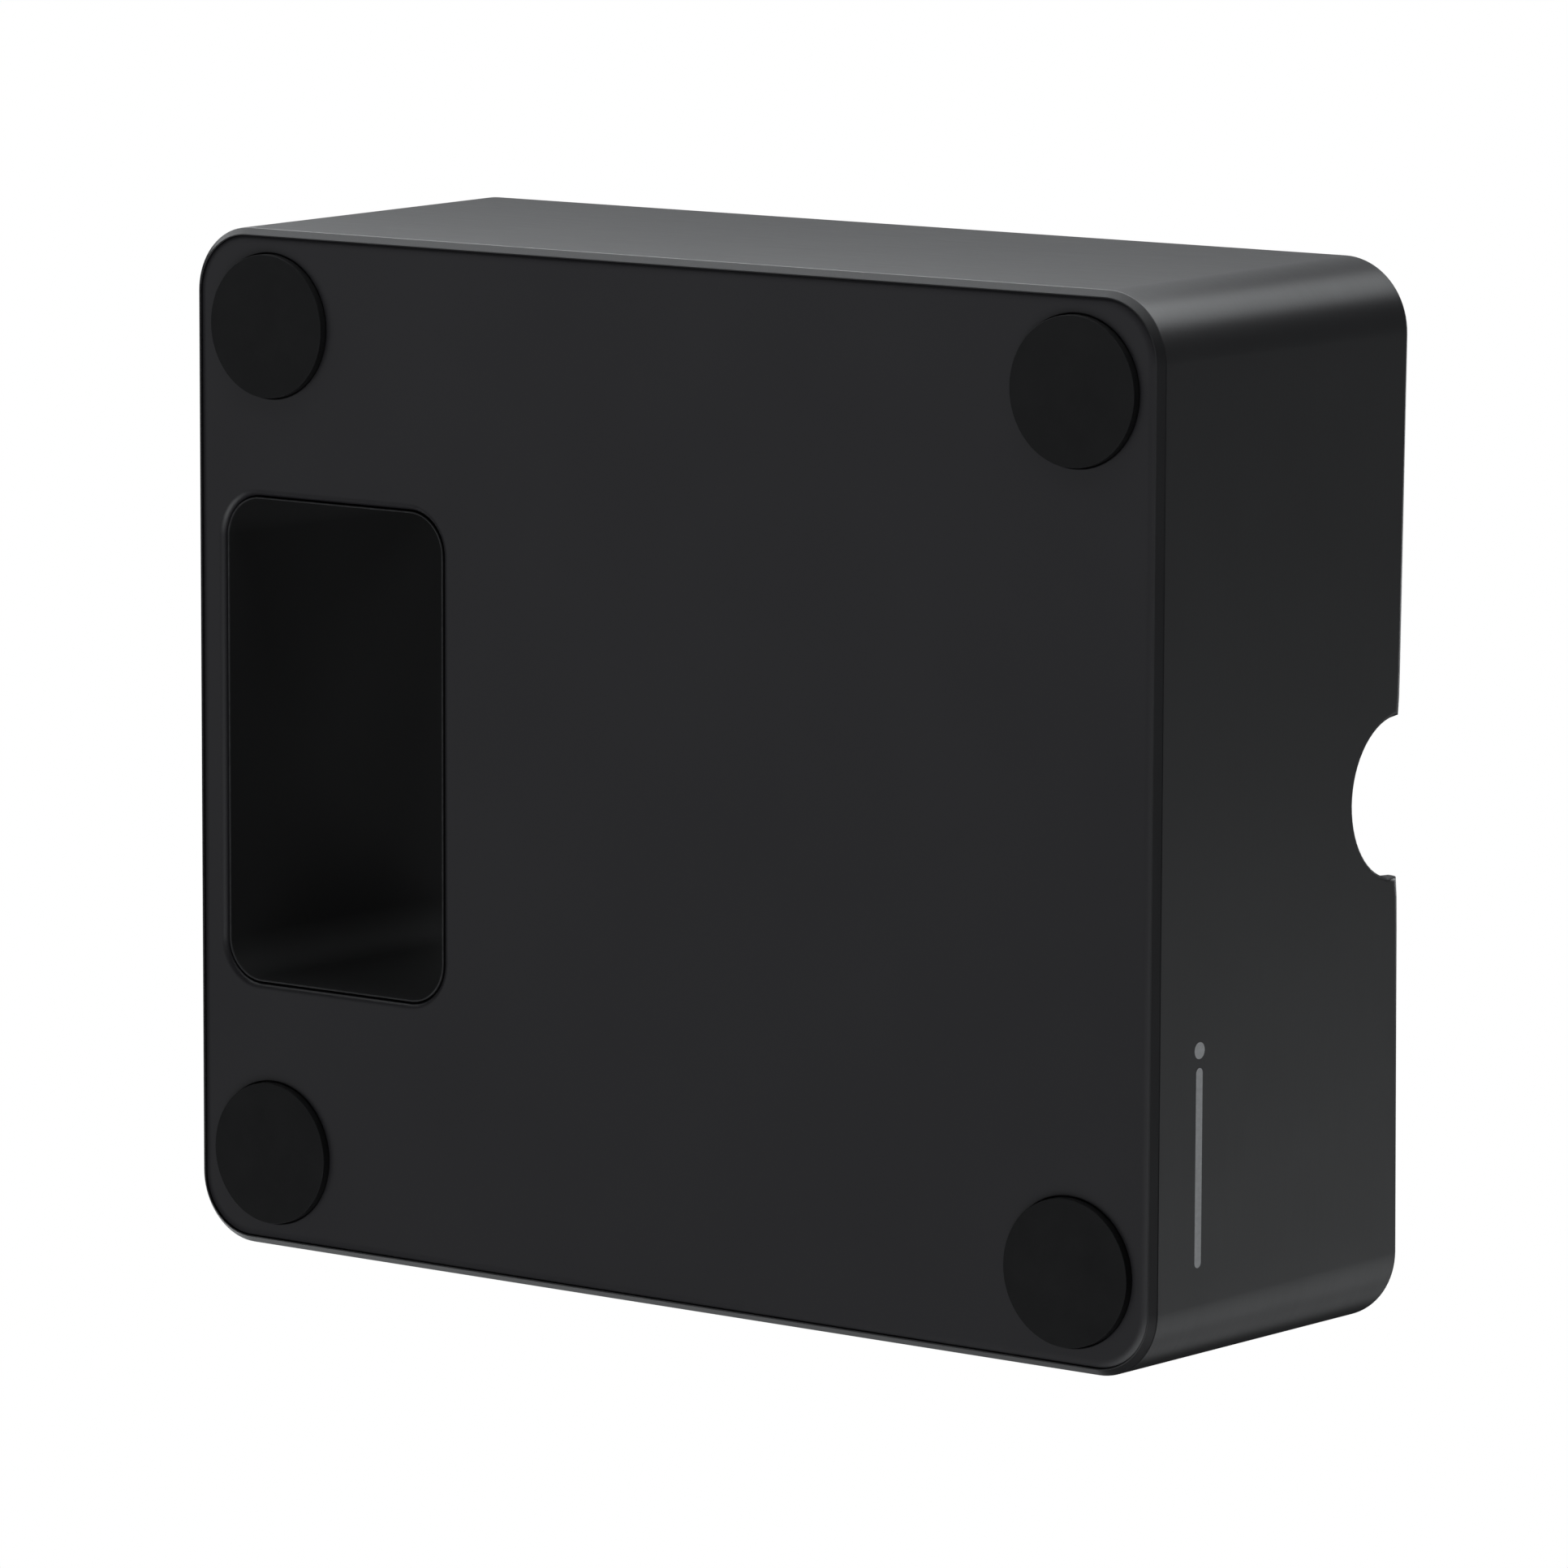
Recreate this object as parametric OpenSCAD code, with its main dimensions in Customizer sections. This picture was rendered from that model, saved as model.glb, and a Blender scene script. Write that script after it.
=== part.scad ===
// Espresso tamping station: a drafted box with a portafilter notch in one wall,
// a screwed-on base plate with four stick-on feet, and a deck of tool wells inside.
// Origin: centre of the footprint on the resting plane. +Z up, +X towards the notch wall.

/* [Shell] */
// Outer length along X at the lower edge
shell_len = 206.1; // [206:0.1:230]
// Outer width along Y at the lower edge
shell_wid = 179.2; // [178:0.1:200]
// Height from the lower edge to the rim
shell_h = 70.5; // [66:0.5:90]
// How far each wall leans out between the lower edge and the rim
lean = 0.9; // [0.4:0.1:2]
// Radius of the upright corners at the lower edge
corner_r = 11.6; // [9:0.1:16]
// Wall thickness
wall_t = 3.2; // [3:0.1:4]
// Thickness of the lip that surrounds the base plate
lip_t = 1.3; // [1.2:0.1:1.6]
// Size of the bevel on the outside of the lower edge
lip_bevel = 1.1; // [0.4:0.1:1.1]

/* [Portafilter notch] */
// Width of the notch, which is also twice the radius of its round bottom
notch_w = 27.5; // [22:0.5:32]
// Depth of the notch below the rim
notch_drop = 15; // [14:0.1:18]

/* [Base plate] */
// Thickness of the plate
plate_t = 3; // [2.5:0.1:3.5]
// Rounding of the plate's lower edge
plate_edge_r = 1.5; // [0.8:0.1:2]
// Gap between the plate and the lip round it
plate_gap = 0.2; // [0.1:0.05:0.4]

/* [Rectangular well] */
// Inside size of the well along X
well_x = 48; // [30:0.5:48]
// Inside size of the well along Y
well_y = 84.9; // [50:0.1:90]
// Distance of the well's centre behind the middle of the box
well_back = 72; // [70:0.1:72]
// Inside radius of the well's corners
well_r = 7; // [4:0.5:12]
// Wall thickness of the sleeve that lines the well
sleeve_t = 1; // [0.8:0.1:1.2]
// Gap between the sleeve and the edges that it passes through
sleeve_gap = 0.25; // [0.15:0.05:0.3]
// Size of the bevel round the opening in the base plate
mouth_bevel = 1.4; // [0.5:0.1:1.5]

/* [Feet] */
// Diameter of a foot
foot_d = 25; // [20:0.5:26]
// How far a foot stands out below the base plate
foot_out = 1.3; // [1:0.1:3]
// Depth of the shallow pocket that a foot is stuck in
foot_pocket = 0.8; // [0.4:0.1:1]
// Distance between feet along X
foot_pitch_x = 171.8; // [168:0.1:172]
// Distance between feet along Y
foot_pitch_y = 145.7; // [144:0.1:147]
// Thickness of the adhesive disc on a foot
tape_t = 0.2; // [0.1:0.05:0.3]
// Gap between a foot and the wall of its pocket
foot_gap = 0.4; // [0.2:0.05:0.5]

/* [Deck] */
// Thickness of the deck and of its ledge
deck_t = 3; // [2.5:0.1:4]
// How far the deck lies below the rim
deck_drop = 3; // [2:0.5:5]
// Wall and floor thickness of the cups moulded under the deck
cup_t = 2; // [1.6:0.1:2.4]
// Position of the portafilter cup in front of the middle
cradle_x = 48; // [46:0.5:50]
// Inside diameter of the portafilter cup
cradle_cup_d = 68; // [64:0.5:69]
// Depth of the portafilter cup below the deck
cradle_cup_h = 52; // [40:1:56]
// Clear diameter through the silicone cradle
cradle_d = 60.5; // [54:0.5:61]
// Distance of the tool wells behind the middle
tool_back = 11; // [10:0.5:11]
// Distance of the tool wells from the centre line
tool_side = 44; // [42:0.5:45]
// Clear diameter of a lined tool well, for a 58 mm tamper or leveller
tool_d = 59; // [54:0.5:59]
// Depth of a lined tool well below the deck
tool_h = 30; // [20:1:40]
// Diameter of the two brush and needle-tool wells
brush_d = 28; // [20:0.5:28]
// Depth of the brush and needle-tool wells below the deck
brush_h = 45; // [30:1:50]
// Position of the brush wells in front of the middle
brush_x = 70; // [68:0.5:70]
// Distance of the brush wells from the centre line
brush_side = 56; // [54:0.5:56]

/* [Screws] */
// Shank diameter of the base screws
screw_d = 3; // [2.5:0.1:3.5]
// Head diameter of the base screws
screw_head_d = 6.6; // [6:0.1:7]
// Length of the base screws under the head
screw_l = 16; // [12:1:20]

/* [Hidden] */
$fn = 96;
eps = 0.01;
part_gap = 0.2;      // ordinary clearance between two loose parts
base_z = foot_out;                       // lower edge of the shell
rim_z = base_z + shell_h;
plate_z = base_z + plate_t;              // inner face of the base plate
deck_z = rim_z - deck_drop;              // upper face of the deck
ledge_z = deck_z - deck_t;               // face that the deck rests on
ledge_w = 2;                             // how far the ledge stands in from the wall
notch_r = notch_w / 2;
notch_z = rim_z - notch_drop + notch_r;  // axis height of the notch
foot_x = foot_pitch_x / 2;
foot_y = foot_pitch_y / 2;
foot_t = foot_out + foot_pocket - tape_t;
boss_d = 12;                             // pad on the plate round each screw
boss_t = 3;
post_d = 9;                              // post under the deck that takes a screw
post_z = plate_z + boss_t;
head_t = 1.9;                            // height of the countersunk head
head_z = base_z + foot_pocket + part_gap; // outer face of the screw head
bore_gap = 0.05;
plate_len = shell_len - 2 * (lip_t + plate_gap);
plate_wid = shell_wid - 2 * (lip_t + plate_gap);
plate_r = corner_r - lip_t - plate_gap;
mouth_x = well_x + 2 * (sleeve_t + sleeve_gap);
mouth_y = well_y + 2 * (sleeve_t + sleeve_gap);
mouth_r = well_r + sleeve_t + sleeve_gap;
sleeve_z = base_z + 0.5;                 // lower end of the sleeve
sleeve_flange = 2;
flange_t = 1.2;
trough_r = notch_r + 0.5;                // inside radius of the neck trough in the deck
liner_t = 1.2;                           // silicone thickness
cradle_depth = 9;                        // how far the cradle reaches into its cup
lift = 0.02;                             // clearance under each loose, lift-out piece
tool_cup_d = tool_d + 2 * (liner_t + part_gap);
tool_cup_h = tool_h + liner_t;
cup_flange_w = 2;                        // how far a silicone flange covers the deck
lean_rate = lean / shell_h;
trough_x = shell_len / 2 - wall_t - part_gap
    + lean_rate * (notch_z - trough_r - cup_t - base_z);

// Upright slab with round corners, centred on Z
module slab(len, wid, h, r) {
    translate([-len / 2, r - wid / 2, 0]) cube([len, wid - 2 * r, h]);
    translate([r - len / 2, -wid / 2, 0]) cube([len - 2 * r, wid, h]);
    corners(len / 2 - r, wid / 2 - r) cylinder(h = h, r = r);
}

// Slab whose sides and corners lean out by the same amount on their way up
module leaning_slab(len, wid, h, r, out) {
    rotate([90, 0, 90]) side_band(wid, h, len / 2 - r, out);
    rotate([90, 0, 0]) side_band(len, h, wid / 2 - r, out);
    corners(len / 2 - r, wid / 2 - r) cylinder(h = h, r1 = r, r2 = r + out);
}

module side_band(w, h, reach, out) {
    outline = [[-w / 2, 0], [w / 2, 0], [w / 2 + out, h], [-w / 2 - out, h]];
    translate([0, 0, -reach]) linear_extrude(2 * reach) polygon(outline);
}

// Slab with its lower edge rounded by e
module soft_slab(len, wid, h, r, e) {
    translate([0, 0, e]) slab(len, wid, h - e, r);
    slab(len - 2 * e, wid - 2 * e, h, r - e);
    for (s = [-1, 1]) {
        translate([r - len / 2, s * (wid / 2 - e), e]) rotate([0, 90, 0])
            cylinder(h = len - 2 * r, r = e);
        translate([s * (len / 2 - e), wid / 2 - r, e]) rotate([90, 0, 0])
            cylinder(h = wid - 2 * r, r = e);
    }
    corners(len / 2 - r, wid / 2 - r)
        rotate_extrude() translate([r - e, e]) circle(e);
}

module corners(x, y) {
    for (sx = [-1, 1], sy = [-1, 1]) translate([sx * x, sy * y, 0]) children();
}

module at_feet() {
    corners(foot_x, foot_y) children();
}

module at_well(z) {
    translate([-well_back, 0, z]) children();
}

// The tool wells mirror each other across the centre line: side is -1 or 1
module at_tool(side, z) {
    translate([-tool_back, side * tool_side, z]) children();
}

module shell() color("#26272a") difference() {
    union() {
        shell_skin();
        deck_ledge();
    }
    translate([0, 0, base_z - eps])
        slab(shell_len - 2 * lip_t, shell_wid - 2 * lip_t, plate_t + eps, corner_r - lip_t);
    notch_cut(notch_r, shell_len / 2 - 2 * wall_t, 3 * wall_t + lean);
    notch_cut(trough_r + cup_t + part_gap, shell_len / 2 - 3 * wall_t,
        trough_x + part_gap - shell_len / 2 + 3 * wall_t);
}

module shell_skin() difference() {
    union() {
        translate([0, 0, base_z])
            leaning_slab(shell_len - 2 * lip_bevel, shell_wid - 2 * lip_bevel, lip_bevel,
                corner_r - lip_bevel, lip_bevel);
        translate([0, 0, base_z + lip_bevel])
            leaning_slab(shell_len, shell_wid, shell_h - lip_bevel, corner_r, lean);
    }
    translate([0, 0, base_z - eps])
        leaning_slab(shell_len - 2 * wall_t, shell_wid - 2 * wall_t, shell_h + 2 * eps,
            corner_r - wall_t, lean);
}

// Continuous step inside the wall that carries the deck
module deck_ledge() translate([0, 0, ledge_z - deck_t]) difference() {
    slab(shell_len - wall_t, shell_wid - wall_t, deck_t, corner_r - wall_t / 2);
    translate([0, 0, -eps])
        slab(shell_len - 2 * (wall_t + ledge_w), shell_wid - 2 * (wall_t + ledge_w),
            deck_t + 2 * eps, corner_r - wall_t - ledge_w);
}

// Round-bottomed slot along X from x0, open upwards
module notch_cut(r, x0, len) translate([x0, 0, notch_z]) {
    rotate([0, 90, 0]) cylinder(h = len, r = r);
    translate([0, -r, 0]) cube([len, 2 * r, rim_z]);
}

module base_plate() color("#27272a") difference() {
    union() {
        translate([0, 0, base_z]) soft_slab(plate_len, plate_wid, plate_t, plate_r, plate_edge_r);
        at_feet() translate([0, 0, base_z + plate_t / 2])
            cylinder(h = boss_t + plate_t / 2, d = boss_d);
    }
    at_well(base_z - eps) slab(mouth_x, mouth_y, plate_t + 2 * eps, mouth_r);
    at_well(base_z - eps) mirror([0, 0, 1]) translate([0, 0, -mouth_bevel])
        leaning_slab(mouth_x, mouth_y, mouth_bevel + eps, mouth_r, mouth_bevel);
    at_feet() screw_hole();
}

module screw_hole() {
    translate([0, 0, base_z - eps]) cylinder(h = foot_pocket + eps, d = foot_d + 2 * foot_gap);
    translate([0, 0, base_z]) cylinder(h = head_z - base_z, d = screw_head_d + part_gap);
    translate([0, 0, head_z])
        cylinder(h = head_t, d1 = screw_head_d + part_gap, d2 = screw_d + part_gap);
    translate([0, 0, base_z]) cylinder(h = post_z, d = screw_d + part_gap);
}

module base_screws() color("silver") at_feet() translate([0, 0, head_z]) {
    difference() {
        cylinder(h = head_t, d1 = screw_head_d - part_gap, d2 = screw_d);
        translate([0, 0, -eps]) cross_recess();
    }
    translate([0, 0, head_t - eps]) cylinder(h = screw_l - head_t, d = screw_d);
}

module cross_recess() {
    arm = screw_head_d * 0.55;
    slot = 0.9;
    for (turn = [0, 90]) rotate([0, 0, turn])
        translate([-arm / 2, -slot / 2, 0]) cube([arm, slot, head_t * 0.6]);
}

module deck() color("#2b2b2e") difference() {
    union() {
        deck_panel();
        at_feet() translate([0, 0, post_z]) cylinder(h = deck_z - deck_t / 2 - post_z, d = post_d);
        cup(cradle_x, 0, cradle_cup_d, cradle_cup_h);
        for (s = [-1, 1]) {
            cup(-tool_back, s * tool_side, tool_cup_d, tool_cup_h);
            cup(brush_x, s * brush_side, brush_d, brush_h);
        }
        neck_trough(trough_r + cup_t);
    }
    cup_hollow(cradle_x, 0, cradle_cup_d, cradle_cup_h);
    for (s = [-1, 1]) {
        cup_hollow(-tool_back, s * tool_side, tool_cup_d, tool_cup_h);
        cup_hollow(brush_x, s * brush_side, brush_d, brush_h);
    }
    notch_cut(trough_r, cradle_x, shell_len / 2);
    at_well(ledge_z - eps) slab(mouth_x, mouth_y, deck_t + 2 * eps, mouth_r);
    at_feet() translate([0, 0, post_z - eps])
        cylinder(h = screw_l, d = screw_d + 2 * bore_gap);
}

module deck_panel() translate([0, 0, ledge_z]) {
    grown = lean_rate * (ledge_z - base_z);
    inset = wall_t + part_gap - grown;
    slab(shell_len - 2 * inset, shell_wid - 2 * inset, deck_t, corner_r - inset);
}

module cup(x, y, d, h) {
    translate([x, y, deck_z - h - cup_t]) cylinder(h = h + cup_t - deck_t / 2, d = d + 2 * cup_t);
}

module cup_hollow(x, y, d, h) {
    translate([x, y, deck_z - h]) cylinder(h = h + eps, d = d);
}

// Half-round channel that carries the portafilter's neck from its cup to the notch
module neck_trough(r) intersection() {
    translate([cradle_x, 0, notch_z]) rotate([0, 90, 0])
        cylinder(h = trough_x - cradle_x, r = r);
    translate([cradle_x, -r, 0]) cube([shell_len, 2 * r, deck_z - deck_t / 2]);
}

module well_sleeve() color("#1c1c1e") difference() {
    union() {
        at_well(sleeve_z)
            slab(well_x + 2 * sleeve_t, well_y + 2 * sleeve_t, deck_z - sleeve_z + flange_t / 2,
                well_r + sleeve_t);
        at_well(deck_z + lift)
            slab(well_x + 2 * sleeve_t + sleeve_flange, well_y + 2 * (sleeve_t + sleeve_flange),
                flange_t, well_r + sleeve_t);
    }
    at_well(sleeve_z - eps) slab(well_x, well_y, shell_h, well_r);
}

// Horseshoe of silicone that the portafilter's basket hangs in
module portafilter_cradle() color("#18181a") difference() {
    translate([cradle_x, 0, deck_z + lift]) {
        cylinder(h = flange_t, d = cradle_cup_d + 2 * cup_flange_w);
        translate([0, 0, -cradle_depth])
            cylinder(h = cradle_depth + flange_t / 2, d = cradle_cup_d - 2 * part_gap);
    }
    translate([cradle_x, 0, deck_z - cradle_depth - eps])
        cylinder(h = cradle_depth + 2 * flange_t, d = cradle_d);
    notch_cut(trough_r, cradle_x, shell_len / 2);
}
module tool_liner(side) color("#1b1b1d") difference() {
    union() {
        at_tool(side, deck_z + lift) cylinder(h = flange_t, d = tool_cup_d + 2 * cup_flange_w);
        at_tool(side, deck_z + lift - tool_cup_h)
            cylinder(h = tool_cup_h + flange_t / 2, d = tool_cup_d - 2 * part_gap);
    }
    at_tool(side, deck_z + lift - tool_h) cylinder(h = tool_h + flange_t + eps, d = tool_d);
}

module tamper_liner() tool_liner(-1);

module leveller_liner() tool_liner(1);

module foot(sx, sy) color("#121213") translate([sx * foot_x, sy * foot_y, 0])
    soft_disc(foot_d, foot_t, 0.4);

// Disc with its lower edge rounded by e
module soft_disc(d, t, e) rotate_extrude() {
    translate([0, e]) square([d / 2, t - e]);
    square([d / 2 - e, e]);
    translate([d / 2 - e, e]) circle(e);
}

module tape(sx, sy) color("#8a8a86") translate([sx * foot_x, sy * foot_y, foot_t])
    cylinder(h = tape_t, d = foot_d - 1);

module foot_front_left() foot(1, -1);
module foot_front_right() foot(1, 1);
module foot_rear_left() foot(-1, -1);
module foot_rear_right() foot(-1, 1);
module tape_front_left() tape(1, -1);
module tape_front_right() tape(1, 1);
module tape_rear_left() tape(-1, -1);
module tape_rear_right() tape(-1, 1);

shell();
base_plate();
deck();
well_sleeve();
portafilter_cradle();
tamper_liner();
leveller_liner();
base_screws();
foot_front_left();
foot_front_right();
foot_rear_left();
foot_rear_right();
tape_front_left();
tape_front_right();
tape_rear_left();
tape_rear_right();
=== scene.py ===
"""Looks for the espresso tamping station: housing, bottom cover, deck, wells, feet and screws.

All lengths are metres, in the frame of the CAD model: +Z up, +X towards the notch wall.
"""

import math

import bmesh
import bpy
from mathutils import Matrix, Vector
from mathutils.geometry import tessellate_polygon


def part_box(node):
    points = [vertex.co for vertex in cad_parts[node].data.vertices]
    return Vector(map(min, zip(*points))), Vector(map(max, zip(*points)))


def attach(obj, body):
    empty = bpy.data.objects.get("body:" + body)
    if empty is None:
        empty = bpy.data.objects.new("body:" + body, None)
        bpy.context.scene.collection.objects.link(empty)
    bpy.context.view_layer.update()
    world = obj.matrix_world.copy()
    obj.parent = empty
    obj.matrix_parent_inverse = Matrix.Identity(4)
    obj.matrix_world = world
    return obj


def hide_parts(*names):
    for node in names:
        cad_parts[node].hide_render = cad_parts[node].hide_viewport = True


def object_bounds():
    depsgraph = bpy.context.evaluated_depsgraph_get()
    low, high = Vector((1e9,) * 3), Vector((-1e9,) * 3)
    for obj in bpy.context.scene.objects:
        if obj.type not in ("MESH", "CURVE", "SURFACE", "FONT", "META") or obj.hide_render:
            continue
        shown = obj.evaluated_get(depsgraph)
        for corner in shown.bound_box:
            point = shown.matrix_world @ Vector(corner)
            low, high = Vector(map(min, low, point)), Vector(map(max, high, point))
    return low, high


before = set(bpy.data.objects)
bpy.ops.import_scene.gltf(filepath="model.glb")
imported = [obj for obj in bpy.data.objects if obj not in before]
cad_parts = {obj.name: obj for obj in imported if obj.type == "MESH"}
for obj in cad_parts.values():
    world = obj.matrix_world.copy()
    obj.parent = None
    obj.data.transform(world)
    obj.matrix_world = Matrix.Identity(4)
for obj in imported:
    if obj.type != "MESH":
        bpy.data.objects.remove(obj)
cad_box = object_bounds()
MM = 0.001

# Sizes that the frame gives
SHELL_LO, SHELL_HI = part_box("shell")
FOOT_LO, FOOT_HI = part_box("foot_front_left")
SLEEVE_LO, SLEEVE_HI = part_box("well_sleeve")
BASE_Z = SHELL_LO.z
RIM_Z = SHELL_HI.z
CAD_MIDDLE = (cad_box[0] + cad_box[1]) / 2

# Sizes of the sections
LEAN = 0.9 * MM
CORNER_R = 11.6 * MM
WALL = 3.2 * MM
LIP = 1.3 * MM
LIP_BEVEL = 1.1 * MM
COVER_GAP = 0.06 * MM
PLATE_T = 3 * MM
RIM_OUTER_R = 1.0 * MM
RIM_NOTCH_R = 2.45 * MM
RIM_FLARE = 0.45 * MM
FLARE_REACH = 6 * MM
RIM_INNER_R = 0.5 * MM
NOTCH_EDGE_R = 0.9 * MM
NOTCH_BED_R = 0.4 * MM
DECK_DROP = 3 * MM
DECK_T = 3 * MM
LEDGE = 2.8 * MM
NOTCH_R = 13.75 * MM
NOTCH_DROP = 15 * MM
CORNER_STEPS = 20

LEAN_RATE = LEAN / (RIM_Z - BASE_Z)
HALF_X = SHELL_HI.x - LEAN
HALF_Y = SHELL_HI.y - LEAN
LEDGE_Z = RIM_Z - DECK_DROP - DECK_T


# ---------------------------------------------------------------- sections and rings

def soften(points, radii, steps=5):
    """The 2D polyline with each inner corner replaced by an arc of its radius."""
    out = [Vector(points[0])]
    for i in range(1, len(points) - 1):
        p = Vector(points[i])
        a = (Vector(points[i - 1]) - p).normalized()
        b = (Vector(points[i + 1]) - p).normalized()
        r = radii[i]
        if r <= 0:
            out.append(p)
            continue
        half = a.angle(b) / 2
        centre = p + (a + b).normalized() * (r / math.sin(half))
        start = p + a * (r / math.tan(half)) - centre
        turn = start.angle_signed(p + b * (r / math.tan(half)) - centre)
        for k in range(steps + 1):
            t = -turn * k / steps
            c, s = math.cos(t), math.sin(t)
            out.append(centre + Vector((start.x * c - start.y * s, start.x * s + start.y * c)))
    out.append(Vector(points[-1]))
    return out


def loop_stations(half_x, half_y, radius, steps=CORNER_STEPS, centre=(0, 0), side_steps=1):
    """(corner-centre skeleton point, outward normal) counter-clockwise round a rounded rectangle."""
    stations = []
    corners = [(1, -1), (1, 1), (-1, 1), (-1, -1)]
    for i, (sx, sy) in enumerate(corners):
        c = Vector((centre[0] + sx * (half_x - radius), centre[1] + sy * (half_y - radius)))
        first = -math.pi / 2 + i * math.pi / 2
        for k in range(steps + 1):
            a = first + math.pi / 2 * k / steps
            stations.append((c.copy(), Vector((math.cos(a), math.sin(a)))))
        nx, ny = corners[(i + 1) % 4]
        d = Vector((centre[0] + nx * (half_x - radius), centre[1] + ny * (half_y - radius)))
        n = stations[-1][1]
        for k in range(1, side_steps):
            stations.append((c.lerp(d, k / side_steps), n.copy()))
    return stations


def circle_stations(centre, steps=64):
    """Stations round a point."""
    c = Vector(centre)
    angles = [2 * math.pi * k / steps for k in range(steps)]
    return [(c.copy(), Vector((math.cos(a), math.sin(a)))) for a in angles]


def ring(bm, stations, radius, z):
    return [bm.verts.new((*(c + n * radius), z)) for c, n in stations]


def bridge(bm, lower, upper, closed=True):
    """Quads between two rings of equal length."""
    count = len(lower) if closed else len(lower) - 1
    for i in range(count):
        j = (i + 1) % len(lower)
        bm.faces.new((lower[i], lower[j], upper[j], upper[i]))


def sweep(bm, stations, section):
    """Rings for each (radius, z) of the section, joined in order; gives the first and last ring."""
    rings = [ring(bm, stations, r, z) for r, z in section]
    for a, b in zip(rings, rings[1:]):
        bridge(bm, a, b)
    return rings[0], rings[-1]


def fill(bm, outer, holes=()):
    """Flat face between an outer ring and the rings of its holes."""
    loops = [outer, *holes]
    verts = [v for loop in loops for v in loop]
    for tri in tessellate_polygon([[v.co for v in loop] for loop in loops]):
        bm.faces.new([verts[i] for i in tri])


def piece(bm, name, body, material, replaces=(), sharp=40):
    """Turns the mesh into a named object that rides on its body."""
    bmesh.ops.remove_doubles(bm, verts=bm.verts, dist=1e-7)
    bmesh.ops.recalc_face_normals(bm, faces=bm.faces)
    mesh = bpy.data.meshes.new(name)
    bm.to_mesh(mesh)
    bm.free()
    obj = bpy.data.objects.new(name, mesh)
    bpy.context.scene.collection.objects.link(obj)
    mesh.materials.append(material)
    smooth(obj, sharp)
    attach(obj, body)
    if replaces:
        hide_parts(*replaces)
    return obj


def smooth(obj, sharp):
    """Smooth shading with creases at edges steeper than sharp degrees."""
    mesh = obj.data
    for polygon in mesh.polygons:
        polygon.use_smooth = True
    bm = bmesh.new()
    bm.from_mesh(mesh)
    for edge in bm.edges:
        if len(edge.link_faces) == 2:
            edge.smooth = edge.calc_face_angle(0) < math.radians(sharp)
    bm.to_mesh(mesh)
    bm.free()
    weighted = obj.modifiers.new("normals", "WEIGHTED_NORMAL")
    weighted.keep_sharp = True
    weighted.weight = 100


# ---------------------------------------------------------------- materials

class Nodes:
    """Short-hand for building a node tree."""

    def __init__(self, name):
        self.material = bpy.data.materials.new(name)
        self.material.use_nodes = True
        self.tree = self.material.node_tree
        self.shader = self.tree.nodes["Principled BSDF"]
        self.place = self.add("ShaderNodeTexCoord").outputs["Object"]

    def add(self, kind, **inputs):
        node = self.tree.nodes.new(kind)
        for key, value in inputs.items():
            socket = node.inputs[key.replace("_", " ")]
            self.put(socket, value)
        return node

    def put(self, socket, value):
        if isinstance(value, bpy.types.NodeSocket):
            self.tree.links.new(value, socket)
        else:
            socket.default_value = value

    def stretched(self, scale):
        """Object coordinates multiplied by scale along each axis."""
        return self.add("ShaderNodeMapping", Vector=self.place, Scale=scale).outputs["Vector"]

    def noise(self, scale, detail=2.0, stretch=(1, 1, 1)):
        return self.add("ShaderNodeTexNoise", Vector=self.stretched(stretch), Scale=scale,
                        Detail=detail).outputs["Fac"]

    def span(self, value, low, high, from_low=0.3, from_high=0.7):
        """value between from_low and from_high carried over to low..high."""
        node = self.add("ShaderNodeMapRange")
        names = ("Value", "From Min", "From Max", "To Min", "To Max")
        for key, v in zip(names, (value, from_low, from_high, low, high)):
            self.put(node.inputs[key], v)
        return node.outputs["Result"]

    def math(self, operation, a, b):
        node = self.tree.nodes.new("ShaderNodeMath")
        node.operation = operation
        self.put(node.inputs[0], a)
        self.put(node.inputs[1], b)
        return node.outputs[0]

    def mix(self, factor, a, b):
        node = self.tree.nodes.new("ShaderNodeMix")
        node.data_type = "RGBA"
        self.put(node.inputs["Factor"], factor)
        self.put(node.inputs["A"], (*a, 1))
        self.put(node.inputs["B"], (*b, 1))
        return node.outputs["Result"]

    def bump(self, height, distance, strength=1.0, normal=None):
        node = self.add("ShaderNodeBump", Height=height, Distance=distance, Strength=strength)
        if normal is not None:
            self.put(node.inputs["Normal"], normal)
        return node.outputs["Normal"]

    def finish(self, **values):
        for key, value in values.items():
            self.put(self.shader.inputs[key.replace("_", " ")], value)
        return self.material


def satin_black(name, dark, light, rough, grain):
    """Fine-grained satin plastic: slow colour drift, mottled roughness and a fine bump."""
    m = Nodes(name)
    drift = m.noise(25, 3)
    speckle = m.noise(2600, 2)
    colour = m.mix(m.span(drift, 0, 1), dark, light)
    roughness = m.span(m.noise(60, 4), rough - 0.01, rough + 0.01)
    return m.finish(Base_Color=colour, Roughness=roughness, IOR=1.5,
                    Normal=m.bump(speckle, grain))


def housing_finish(name, dark, light, rough):
    """Satin plastic with a fine grain and faint brushing lines that run round the housing."""
    m = Nodes(name)
    colour = m.mix(m.span(m.noise(25, 3), 0, 1), dark, light)
    brush = m.noise(2200, 3, stretch=(0.03, 0.03, 1))
    roughness = m.math("ADD", m.span(m.noise(60, 4), rough - 0.008, rough + 0.008),
                       m.span(brush, -0.015, 0.015))
    lines = m.bump(brush, 0.004 * MM)
    return m.finish(Base_Color=colour, Roughness=roughness, IOR=1.5,
                    Normal=m.bump(m.noise(2600, 2), 0.006 * MM, normal=lines))


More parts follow.
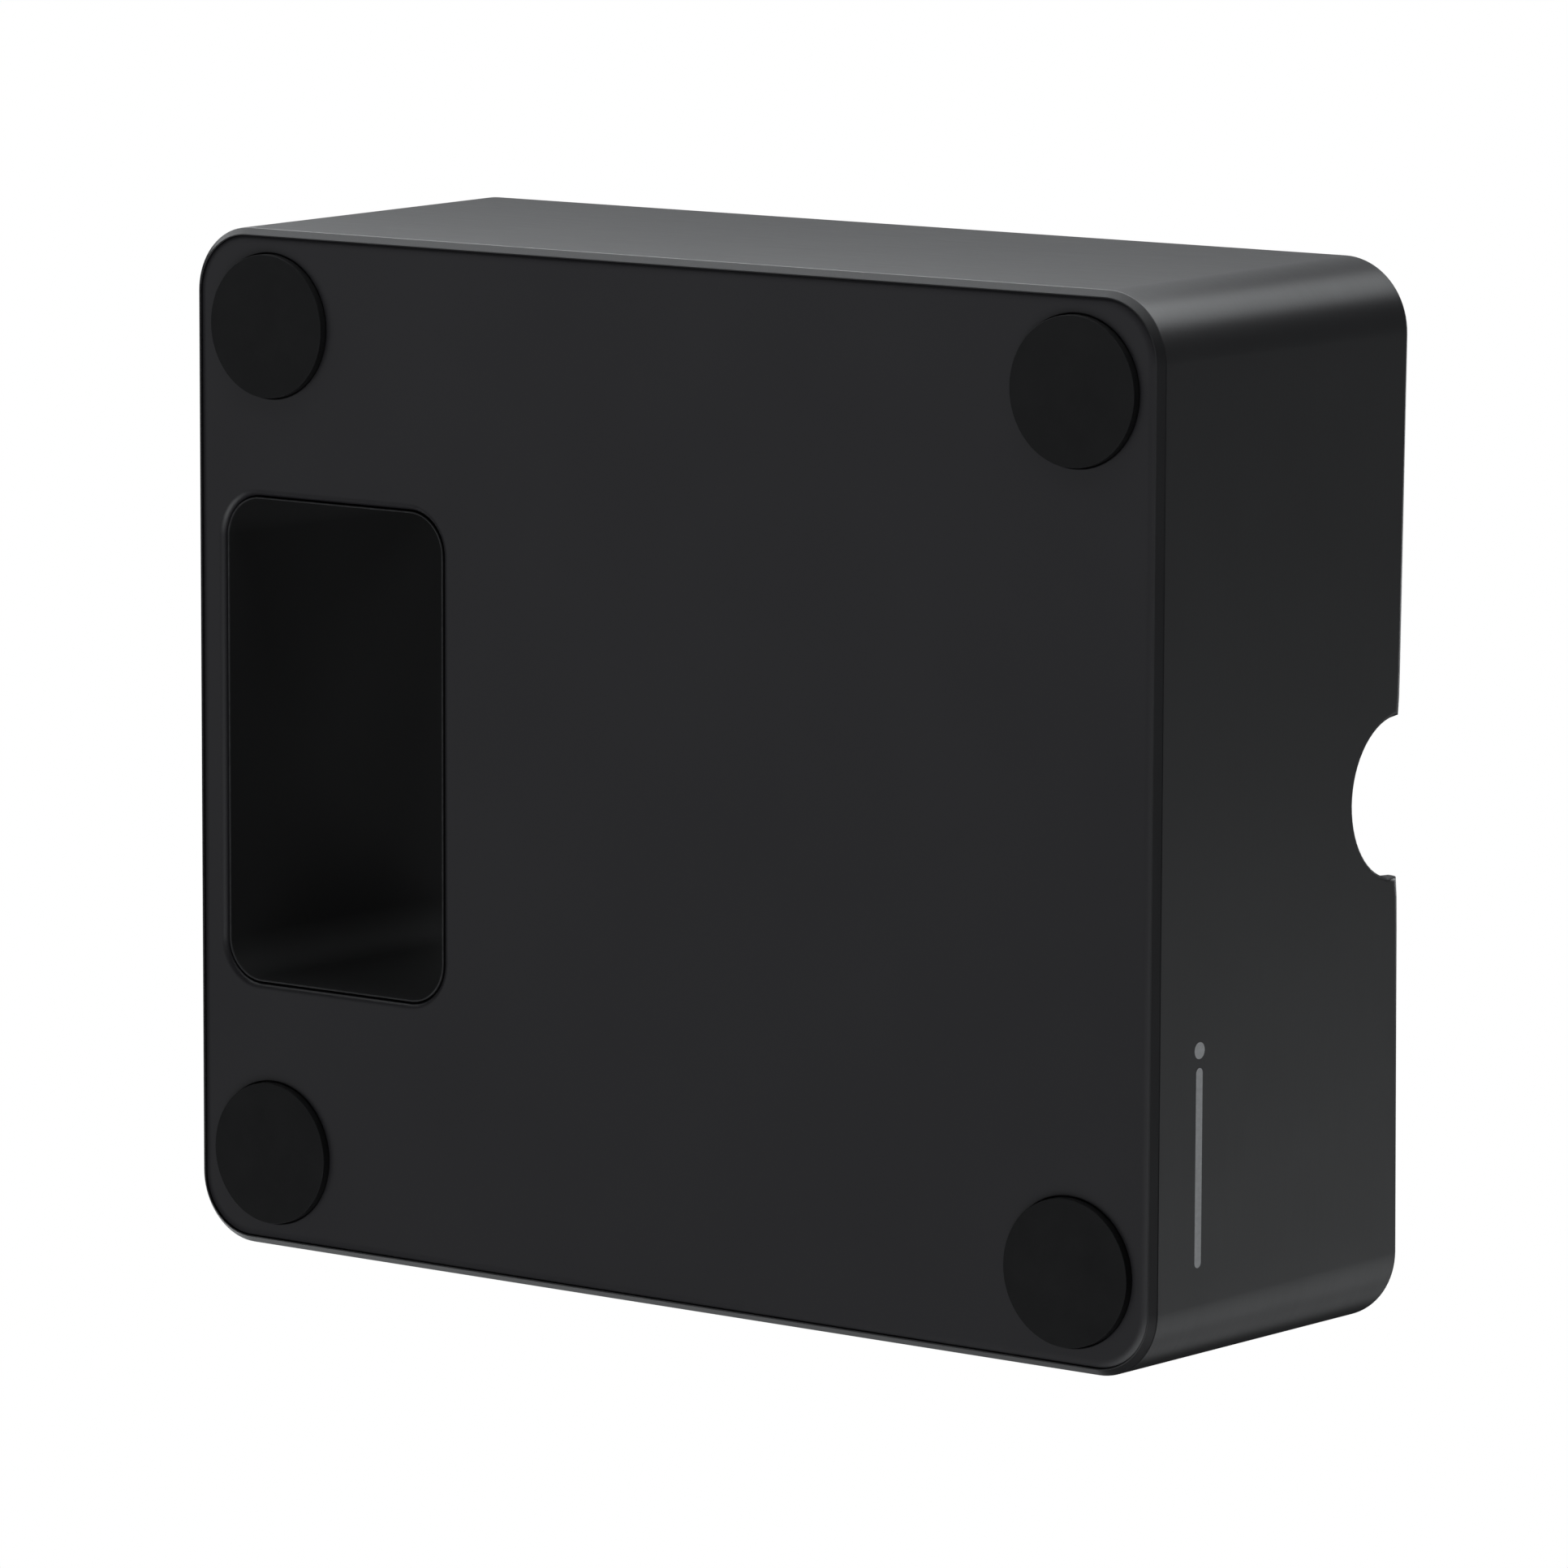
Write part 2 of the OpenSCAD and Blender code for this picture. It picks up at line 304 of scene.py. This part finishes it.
def sleeve_finish(name, dark, edge_highlight):
    """Matte plastic with a painted highlight: lighter, patchy colour along the lower edge stands in for
    the bright edge line.
    """
    m = Nodes(name)
    height = m.add("ShaderNodeSeparateXYZ", Vector=m.place).outputs["Z"]
    # painted highlight: the last fraction of a millimetre at the lower end is painted lighter in place of
    # a lit edge
    highlight_band = m.span(height, 1, 0, SLEEVE_LO.z + 0.1 * MM, SLEEVE_LO.z + 0.3 * MM)
    patchy_highlight = m.math("MULTIPLY", highlight_band, m.span(m.noise(900, 3), 0.6, 1))
    return m.finish(Base_Color=m.mix(patchy_highlight, dark, edge_highlight), IOR=1.5, Specular_IOR_Level=0.25,
                    Roughness=m.span(m.noise(60, 4), 0.74, 0.76),
                    Normal=m.bump(m.noise(2600, 2), 0.008 * MM))


def matte_rubber(name, dark, light, rough, grain):
    m = Nodes(name)
    colour = m.mix(m.span(m.noise(90, 4), 0, 1), dark, light)
    roughness = m.span(m.noise(150, 3), rough - 0.05, rough + 0.05)
    return m.finish(Base_Color=colour, Roughness=roughness, Specular_IOR_Level=0.3,
                    Normal=m.bump(m.noise(1800, 3), grain))


def zinc_finish(name):
    m = Nodes(name)
    colour = m.mix(m.span(m.noise(700, 4), 0, 1), (0.48, 0.49, 0.5), (0.66, 0.67, 0.68))
    roughness = m.span(m.noise(400, 3), 0.25, 0.42)
    return m.finish(Base_Color=colour, Roughness=roughness, Metallic=1.0,
                    Normal=m.bump(m.noise(900, 2), 0.003 * MM))


def tape_finish(name):
    m = Nodes(name)
    weave = m.noise(1500, 5, stretch=(1, 0.3, 1))
    colour = m.mix(m.span(weave, 0, 1), (0.42, 0.41, 0.38), (0.56, 0.55, 0.51))
    return m.finish(Base_Color=colour, Roughness=0.75, Normal=m.bump(weave, 0.01 * MM))


def ink_finish(name):
    m = Nodes(name)
    colour = m.mix(m.span(m.noise(1200, 4), 0, 1), (0.66, 0.67, 0.68), (0.76, 0.77, 0.78))
    return m.finish(Base_Color=colour, Roughness=m.span(m.noise(900, 2), 0.45, 0.6),
                    Normal=m.bump(m.noise(2600, 2), 0.004 * MM))


HOUSING = housing_finish("satin_black_housing", (0.0148, 0.0145, 0.0158), (0.0185, 0.0183, 0.0197), 0.36)
COVER = satin_black("satin_black_base", (0.0163, 0.0154, 0.018), (0.0193, 0.0184, 0.021), 0.42,
                    0.006 * MM)
DECK = satin_black("satin_black_deck", (0.018, 0.018, 0.019), (0.024, 0.024, 0.025), 0.45,
                   0.01 * MM)
# the second colour is the painted highlight on the sleeve's lower edge
SLEEVE = sleeve_finish("black_sleeve", (0.006, 0.006, 0.0063), (0.05, 0.05, 0.052))
SILICONE = matte_rubber("black_silicone", (0.011, 0.011, 0.012), (0.016, 0.016, 0.017), 0.62,
                        0.012 * MM)
RUBBER = matte_rubber("foot_rubber", (0.0055, 0.0055, 0.006), (0.008, 0.008, 0.0085), 0.7,
                      0.015 * MM)
ZINC = zinc_finish("zinc_screw")
TAPE = tape_finish("adhesive_tape")
INK = ink_finish("grey_ink")


# ---------------------------------------------------------------- housing

def rim_radius(y):
    """Outer rounding of the notch wall's rim: small at the corners, full and flared at the notch."""
    away = abs(y) - NOTCH_R
    share = away / (HALF_Y - CORNER_R - NOTCH_R)
    flare = max(0, 1 - away / FLARE_REACH) ** 2
    return RIM_NOTCH_R + (RIM_OUTER_R - RIM_NOTCH_R) * share + RIM_FLARE * flare


def notch_path(axis_z):
    """Rim of the notch wall from low y to high y, as dicts of place, normal and rounding."""
    reach = HALF_Y - CORNER_R
    ledge_end = NOTCH_R + 3.45 * MM
    half = []
    for k in range(1, 13):
        y = -reach + (reach - ledge_end) * k / 12
        half.append(dict(y=y, z=RIM_Z, m=(0, 1), ledge=LEDGE, r=rim_radius(y)))
    y = 0.3 * MM - ledge_end
    half.append(dict(half[-1], y=y, ledge=0.0, r=rim_radius(y)))
    half.append(dict(y=-NOTCH_R, z=RIM_Z, m=(1, 1), ledge=0.0, r=rim_radius(NOTCH_R), mitre=True))
    steps = 32
    arc = []
    for k in range(2, steps - 1):
        a = math.pi * k / steps
        n = (math.cos(a), math.sin(a))
        r = NOTCH_EDGE_R + (NOTCH_BED_R - NOTCH_EDGE_R) * n[1]
        arc.append(dict(y=-NOTCH_R * n[0], z=axis_z - NOTCH_R * n[1], m=n, ledge=0.0, r=r))
    mirrored = [dict(p, y=-p["y"], m=(-p["m"][0], p["m"][1])) for p in reversed(half)]
    return half + arc + mirrored


def housing_stations():
    """Dicts of skeleton point at the foot and at the head, outward normal and rim normal."""
    stations = []
    up = Vector((0, 0, 1))
    for c, n in loop_stations(HALF_X, HALF_Y, CORNER_R, side_steps=4):
        flat_front = n.x > 0.9999 and abs(c.y) < HALF_Y - CORNER_R - 1e-6
        if flat_front:
            continue
        stations.append(dict(foot=c, head=c, n=n, top=RIM_Z, m=up, ledge=LEDGE, r=RIM_OUTER_R))
    path = notch_path(RIM_Z - NOTCH_DROP + NOTCH_R)
    open_part = [p for p in path if not p["ledge"]]
    first, last = open_part[0]["y"], open_part[-1]["y"]
    front = []
    for p in path:
        foot_y = p["y"]
        if not p["ledge"]:
            foot_y = first + (last - first) * open_part.index(p) / (len(open_part) - 1)
        x = HALF_X - CORNER_R
        front.append(dict(foot=Vector((x, foot_y)), head=Vector((x, p["y"])), n=Vector((1, 0)),
                          top=p["z"], m=Vector((0, *p["m"])), ledge=p["ledge"], r=p["r"],
                          mitre=p.get("mitre", False)))
    corner = next(i for i, s in enumerate(stations) if s["n"].x > 0.9999) + 1
    return stations[:corner] + front + stations[corner:]


def on_wall(c, n, inset, z):
    """Point at that height, inset from the leaning outer face."""
    xy = c + n * (CORNER_R + LEAN_RATE * (z - BASE_Z) - inset)
    return Vector((*xy, z))


def low_point(s, inset, z):
    return on_wall(s["foot"], s["n"], inset, z)


def rim_point(s, inset, drop):
    """Point of the rim's section; at the notch corner the two roundings meet in a mitre."""
    m = s["m"] * drop
    if s.get("mitre") and inset < s["r"]:
        short = NOTCH_EDGE_R - min(inset, NOTCH_EDGE_R)
        m.y = s["m"].y * (NOTCH_EDGE_R - math.sqrt(NOTCH_EDGE_R ** 2 - short ** 2))
    return on_wall(s["head"] - m.xy, s["n"], inset, s["top"] - m.z)


def housing_section(s):
    """Closed loop of points round the wall at one station."""
    shoulder = BASE_Z + PLATE_T
    low = [(WALL, shoulder), (LIP, shoulder), (LIP, BASE_Z), (LIP_BEVEL, BASE_Z),
           (0, BASE_Z + LIP_BEVEL), (0, BASE_Z + 2 * LIP_BEVEL)]
    low = soften(low, [0, 0.2 * MM, 0.05 * MM, 0.1 * MM, 0.3 * MM, 0], steps=4)
    points = [low_point(s, inset, z) for inset, z in low]
    high = [(0, 4 * s["r"]), (0, 0), (WALL, 0), (WALL, 4 * RIM_INNER_R)]
    inner_r = min(RIM_INNER_R, WALL - s["r"])
    high = soften(high, [0, s["r"], inner_r, 0], steps=8)[1:]
    high = [rim_point(s, inset, drop) for inset, drop in high]
    rows = 3
    for k in range(1, rows):
        points.append(points[len(low) - 1].lerp(high[0], k / rows))
    points += high
    top, bottom = points[-1], points[0]
    if s["ledge"]:
        under = LEDGE_Z - DECK_T
        for inset, z in ((WALL, LEDGE_Z), (WALL + s["ledge"], LEDGE_Z),
                         (WALL + s["ledge"], under), (WALL, under)):
            points.append(low_point(s, inset, z))
    else:
        for k in range(1, 5):
            points.append(top.lerp(bottom, k * 0.04))
    return points


def build_housing():
    bm = bmesh.new()
    columns = []
    for s in housing_stations():
        columns.append([bm.verts.new(p) for p in housing_section(s)])
    for a, b in zip(columns, columns[1:] + columns[:1]):
        bridge(bm, a, b)
    return piece(bm, "housing", "station", HOUSING, ("shell",), sharp=50)


# ---------------------------------------------------------------- bottom cover

WELL_X = (SLEEVE_LO.x + SLEEVE_HI.x) / 2
SLEEVE_T = 1 * MM
SLEEVE_GAP = 0.2 * MM
SPIGOT_T = 0.3 * MM
SPIGOT_TOP = BASE_Z + 2 * MM
SLEEVE_FLANGE = 2 * MM
FLANGE_T = 1.2 * MM
WELL_HALF_X = (SLEEVE_HI.x - SLEEVE_LO.x) / 2 - SLEEVE_T - SLEEVE_FLANGE / 2
WELL_HALF_Y = SLEEVE_HI.y - SLEEVE_T - SLEEVE_FLANGE
WELL_R = 7 * MM
MOUTH_R = 1.4 * MM
CROWN_R = 3.4 * MM
CROWN_RUN = 0.8 * MM
CROWN_SLOPE = math.radians(25)
FOOT_CENTRES = [((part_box(n)[0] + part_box(n)[1]) / 2).xy for n in
                ("foot_front_left", "foot_front_right", "foot_rear_left", "foot_rear_right")]
FOOT_R = (FOOT_HI.x - FOOT_LO.x) / 2
FOOT_GAP = 0.15 * MM
POCKET = 0.8 * MM
HEAD_R = 3.4 * MM
HEAD_GAP = 0.2 * MM
HEAD_T = 1.9 * MM
HOLE_R = 1.6 * MM
BOSS_R = 6 * MM
BOSS_T = 3 * MM


def well_stations():
    grown = SPIGOT_T + SLEEVE_GAP
    return loop_stations(WELL_HALF_X + grown, WELL_HALF_Y + grown, WELL_R + grown, 16, (WELL_X, 0))


def build_cover():
    bm = bmesh.new()
    inset = LIP + COVER_GAP
    radius = CORNER_R - inset
    top = BASE_Z + PLATE_T
    around = loop_stations(HALF_X - inset, HALF_Y - inset, radius)
    edge = soften([(radius - 2 * CROWN_R, BASE_Z), (radius - CROWN_RUN, BASE_Z),
                   (radius, BASE_Z + CROWN_RUN * math.tan(CROWN_SLOPE)), (radius, top),
                   (radius - 1 * MM, top)], [0, CROWN_R, 0.1 * MM, 0.3 * MM, 0], steps=8)
    outer_low, outer_high = sweep(bm, around, [(r, z) for r, z in edge[1:-1]])
    mouth_r = WELL_R + SPIGOT_T + SLEEVE_GAP
    hole_r = WELL_R + SLEEVE_T + SLEEVE_GAP
    lip_top = SPIGOT_TOP - SLEEVE_GAP
    edge = soften([(mouth_r + 2 * MOUTH_R, BASE_Z), (mouth_r, BASE_Z), (mouth_r, lip_top),
                   (hole_r, lip_top), (hole_r, top), (hole_r + 1 * MM, top)],
                  [0, MOUTH_R, 0.1 * MM, 0.1 * MM, 0.3 * MM, 0], steps=8)
    mouth_low, mouth_high = sweep(bm, well_stations(), edge[1:-1])
    low_holes, high_holes = [mouth_low], [mouth_high]
    pocket_r = FOOT_R + FOOT_GAP
    floor = BASE_Z + POCKET
    head = floor + HEAD_GAP
    boss = top + BOSS_T
    profile = [(pocket_r + 1 * MM, BASE_Z), (pocket_r, BASE_Z), (pocket_r, floor), (HEAD_R, floor),
               (HEAD_R, head), (HOLE_R, head + HEAD_T), (HOLE_R, boss), (BOSS_R, boss),
               (BOSS_R, top), (BOSS_R + 2 * MM, top)]
    radii = [0, 0.25, 0.15, 0.1, 0.05, 0.05, 0.2, 0.4, 0.6, 0]
    profile = soften(profile, [r * MM for r in radii], steps=4)
    for centre in FOOT_CENTRES:
        low, high = sweep(bm, circle_stations(centre), profile[1:-1])
        low_holes.append(low)
        high_holes.append(high)
    fill(bm, outer_low, low_holes)
    fill(bm, outer_high, high_holes)
    return piece(bm, "bottom_cover", "station", COVER, ("base_plate",))


# ---------------------------------------------------------------- feet and sleeve

def lathe(bm, centre, profile, steps=64):
    """Closed solid of revolution: the profile runs from the axis to the axis or back to its start."""
    stations = circle_stations(centre, steps)
    rings = []
    for r, z in profile:
        if r < 1e-9:
            rings.append([bm.verts.new((*centre, z))])
        else:
            rings.append(ring(bm, stations, r, z))
    for a, b in zip(rings, rings[1:]):
        if len(a) == 1 or len(b) == 1:
            tip, rim = (a, b) if len(a) == 1 else (b, a)
            for i in range(steps):
                bm.faces.new((tip[0], rim[i], rim[(i + 1) % steps]))
        else:
            bridge(bm, a, b)
    return rings


def build_foot(node, name, index):
    lo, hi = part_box(node)
    bm = bmesh.new()
    crown = 0.05 * MM
    profile = soften([(0, lo.z), (FOOT_R * 0.6, lo.z), (FOOT_R, lo.z + crown), (FOOT_R, hi.z), (0, hi.z)],
                     [0, 0, 0.13 * MM, 0.15 * MM, 0], steps=5)
    lathe(bm, FOOT_CENTRES[index], profile)
    return piece(bm, name, "station", RUBBER, (node,))


def build_sleeve():
    """Flanged tube whose thin lower end stands inside the lip of the cover."""
    bm = bmesh.new()
    stations = loop_stations(WELL_HALF_X, WELL_HALF_Y, WELL_R, 16, (WELL_X, 0))
    spigot, outer = WELL_R + SPIGOT_T, WELL_R + SLEEVE_T
    flange = outer + SLEEVE_FLANGE / 2
    lo, hi = SLEEVE_LO.z, SLEEVE_HI.z
    section = [(WELL_R, (lo + hi) / 2), (WELL_R, lo), (spigot, lo), (spigot, SPIGOT_TOP),
               (outer, SPIGOT_TOP), (outer, hi - FLANGE_T), (flange, hi - FLANGE_T), (flange, hi),
               (WELL_R, hi), (WELL_R, (lo + hi) / 2)]
    radii = [0, 0.12, 0.12, 0.1, 0.2, 0.2, 0.3, 0.5, 0.5, 0]
    section = soften(section, [r * MM for r in radii], steps=4)
    rings = [ring(bm, stations, r, z) for r, z in section[:-1]]
    for a, b in zip(rings, rings[1:] + rings[:1]):
        bridge(bm, a, b)
    return piece(bm, "sleeve_liner", "sleeve", SLEEVE, ("well_sleeve",))


# ---------------------------------------------------------------- printed mark

MARK_Z = BASE_Z + 12.2 * MM
DOT_Y = 35.6 * MM
DOT_R = 1.4 * MM
BAR_LOW_Y = 39.4 * MM
BAR_HIGH_Y = 71 * MM
BAR_R = 0.9 * MM
MARK_PROUD = 0.03 * MM
MARK_SUNK = 0.004 * MM


def capsule(y_low, y_high, half_width, steps=24):
    """Outline of a bar with round ends along Y, as (y, z) points."""
    points = []
    for k in range(2 * steps):
        a = math.pi * k / steps
        end = y_high if math.cos(a) > 1e-9 else y_low
        points.append((end + half_width * math.cos(a), MARK_Z + half_width * math.sin(a)))
    return points


def build_mark():
    """Plain dot and bar where the housing carries its print."""
    bm = bmesh.new()
    for outline in (capsule(DOT_Y, DOT_Y, DOT_R), capsule(BAR_LOW_Y, BAR_HIGH_Y, BAR_R)):
        layers = []
        for proud in (MARK_SUNK, MARK_PROUD):
            x = [HALF_X + LEAN_RATE * (z - BASE_Z) + proud for _, z in outline]
            layers.append([bm.verts.new((x[i], y, z)) for i, (y, z) in enumerate(outline)])
        bridge(bm, *layers)
        for layer in layers:
            fill(bm, layer)
    return piece(bm, "printed_mark", "station", INK)


# ---------------------------------------------------------------- carried-over CAD nodes

def dress(node, material, bevel=0.0):
    """Gives a CAD node its material and, if asked, softened edges."""
    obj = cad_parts[node]
    obj.data.materials.clear()
    obj.data.materials.append(material)
    for polygon in obj.data.polygons:
        polygon.use_smooth = True
    if bevel:
        weld = obj.modifiers.new("weld", "WELD")
        weld.merge_threshold = 1e-6
        flat = obj.modifiers.new("flatten", "DECIMATE")
        flat.decimate_type = "DISSOLVE"
        flat.angle_limit = math.radians(0.5)
        edge = obj.modifiers.new("edges", "BEVEL")
        edge.width = bevel
        edge.segments = 3
        edge.limit_method = "ANGLE"
        edge.angle_limit = math.radians(35)
        edge.harden_normals = False
        weighted = obj.modifiers.new("normals", "WEIGHTED_NORMAL")
        weighted.weight = 100
    return obj


# ---------------------------------------------------------------- camera, light and floor

CAMERA_AZIMUTH = math.radians(-13.6)
CAMERA_ELEVATION = math.radians(-51.84)
CAMERA_ROLL = math.radians(79.43)
CAMERA_DISTANCE = 1.604
CAMERA_AIM = Vector((0.4, 3.4, -0.3)) * MM
LENS_MM = 214.2
SENSOR_MM = 36


def direction(azimuth, elevation):
    """Unit vector at an azimuth from +X and an elevation, in radians."""
    level = math.cos(elevation)
    return Vector((level * math.cos(azimuth), level * math.sin(azimuth), math.sin(elevation)))


def build_camera():
    """Camera below and in front of the notch wall, turned so that the box stands on its side."""
    data = bpy.data.cameras.new("camera")
    data.lens = LENS_MM
    data.sensor_width = SENSOR_MM
    data.clip_start = 0.1
    data.clip_end = 50
    cam = bpy.data.objects.new("camera", data)
    bpy.context.scene.collection.objects.link(cam)
    back = direction(CAMERA_AZIMUTH, CAMERA_ELEVATION)
    level_right = Vector((0, 0, 1)).cross(back).normalized()
    level_up = back.cross(level_right)
    c, s = math.cos(CAMERA_ROLL), math.sin(CAMERA_ROLL)
    right = level_right * c + level_up * s
    up = level_up * c - level_right * s
    turn = Matrix((right, up, back)).transposed().to_4x4()
    place = CAD_MIDDLE + CAMERA_AIM + back * CAMERA_DISTANCE
    cam.matrix_world = Matrix.Translation(place) @ turn
    bpy.context.scene.camera = cam


LIGHT_TINT = (0.975, 1.0, 1.02)


def softbox(name, place, aim, size, radiance, round_shape=False):
    """Area light that gives the same brightness over its whole face and never shows itself."""
    data = bpy.data.lights.new(name, "AREA")
    data.shape = "DISK" if round_shape else "RECTANGLE"
    data.size, data.size_y = size
    area = math.pi / 4 * size[0] ** 2 if round_shape else size[0] * size[1]
    data.energy = radiance * math.pi * area
    data.color = LIGHT_TINT
    obj = bpy.data.objects.new(name, data)
    bpy.context.scene.collection.objects.link(obj)
    obj.location = place
    obj.rotation_mode = "QUATERNION"
    obj.rotation_quaternion = (Vector(aim) - Vector(place)).to_track_quat("-Z", "Y")
    obj.visible_camera = False


FLOOR_GLOW = 0.45


def build_floor():
    """Pale floor that shows from above only, so that the underside can be seen and lit."""
    bm = bmesh.new()
    bmesh.ops.create_grid(bm, x_segments=24, y_segments=24, size=6)
    mesh = bpy.data.meshes.new("floor")
    bm.to_mesh(mesh)
    bm.free()
    obj = bpy.data.objects.new("floor", mesh)
    bpy.context.scene.collection.objects.link(obj)
    m = Nodes("pale_floor")
    path = m.add("ShaderNodeLightPath")
    side = m.add("ShaderNodeNewGeometry")
    seen = m.math("MULTIPLY", path.outputs["Is Camera Ray"],
                  m.math("SUBTRACT", 1.0, side.outputs["Backfacing"]))
    m.finish(Base_Color=(0.8, 0.8, 0.8, 1), Roughness=0.9, Specular_IOR_Level=0.0,
             Emission_Color=(1, 1, 1, 1), Emission_Strength=FLOOR_GLOW)
    clear = m.add("ShaderNodeBsdfTransparent")
    both = m.tree.nodes.new("ShaderNodeMixShader")
    m.put(both.inputs[0], seen)
    m.put(both.inputs[1], clear.outputs[0])
    m.put(both.inputs[2], m.shader.outputs[0])
    out = next(n for n in m.tree.nodes if n.type == "OUTPUT_MATERIAL")
    m.put(out.inputs["Surface"], both.outputs[0])
    mesh.materials.append(m.material)


def build_world():
    """White to the camera, dim to everything else."""
    world = bpy.data.worlds.new("studio")
    bpy.context.scene.world = world
    world.use_nodes = True
    tree = world.node_tree
    back = tree.nodes["Background"]
    path = tree.nodes.new("ShaderNodeLightPath")
    mix = tree.nodes.new("ShaderNodeMix")
    mix.data_type = "RGBA"
    mix.inputs["A"].default_value = (0.02, 0.02, 0.02, 1)
    mix.inputs["B"].default_value = (1, 1, 1, 1)
    tree.links.new(path.outputs["Is Camera Ray"], mix.inputs["Factor"])
    tree.links.new(mix.outputs["Result"], back.inputs["Color"])


WIDE = 1.8
SMALL = 0.95
SLIM = 0.5
WIDE_AWAY = 2.2
SMALL_AWAY = 2.0
STRIP_LENGTH = 0.6
STRIP_WIDTH = 0.06
STRIP_Y = -0.22


def dome_light(name, azimuth, elevation, width, radiance):
    """Round softbox on a dome round the object; the angles are in degrees."""
    away = WIDE_AWAY if width == WIDE else SMALL_AWAY
    place = direction(math.radians(azimuth), math.radians(elevation)) * away
    softbox(name, place, CAD_MIDDLE, (width, width), radiance, True)


def strip_light(name, z, radiance):
    """Narrow softbox along X, close to the -Y wall."""
    lower_edge = Vector((0, SHELL_LO.y, 0))
    softbox(name, (0, STRIP_Y, z), lower_edge, (STRIP_LENGTH, STRIP_WIDTH), radiance)


def build_light():
    """Soft light from the front left, fill behind and below, and small lights for the edges."""
    dome_light("front_left", 216, 16, WIDE, 1.5)
    dome_light("front", 252, 16, WIDE, 1.5)
    dome_light("high_left", 225, 48, WIDE, 0.3)
    dome_light("back_fill", 144, 16, WIDE, 1)
    dome_light("low_right", 45, -48, WIDE, 1)
    dome_light("low_back", 90, -48, WIDE, 2)
    dome_light("low_left", 180, -48, WIDE, 0.4)
    dome_light("front_corner", 288, 50, SMALL, 2)
    dome_light("notch_wall", 36, 50, SMALL, 1)
    dome_light("back_corner", 74, 50, SMALL, 0.5)
    dome_light("rim", 14, 84, SLIM, 4)
    strip_light("low_strip", -0.04, 2)
    strip_light("side_strip", 0.10, 4)


build_housing()
build_cover()
for i, label in enumerate(("front_left", "front_right", "rear_left", "rear_right")):
    build_foot("foot_" + label, "foot_pad_" + label, i)
    dress("tape_" + label, TAPE)
build_sleeve()
build_mark()
dress("deck", DECK, 0.4 * MM)
dress("portafilter_cradle", SILICONE, 0.3 * MM)
dress("tamper_liner", SILICONE, 0.3 * MM)
dress("leveller_liner", SILICONE, 0.3 * MM)
dress("base_screws", ZINC)
build_camera()
build_floor()
build_world()
build_light()
bpy.context.scene.view_settings.view_transform = "Standard"
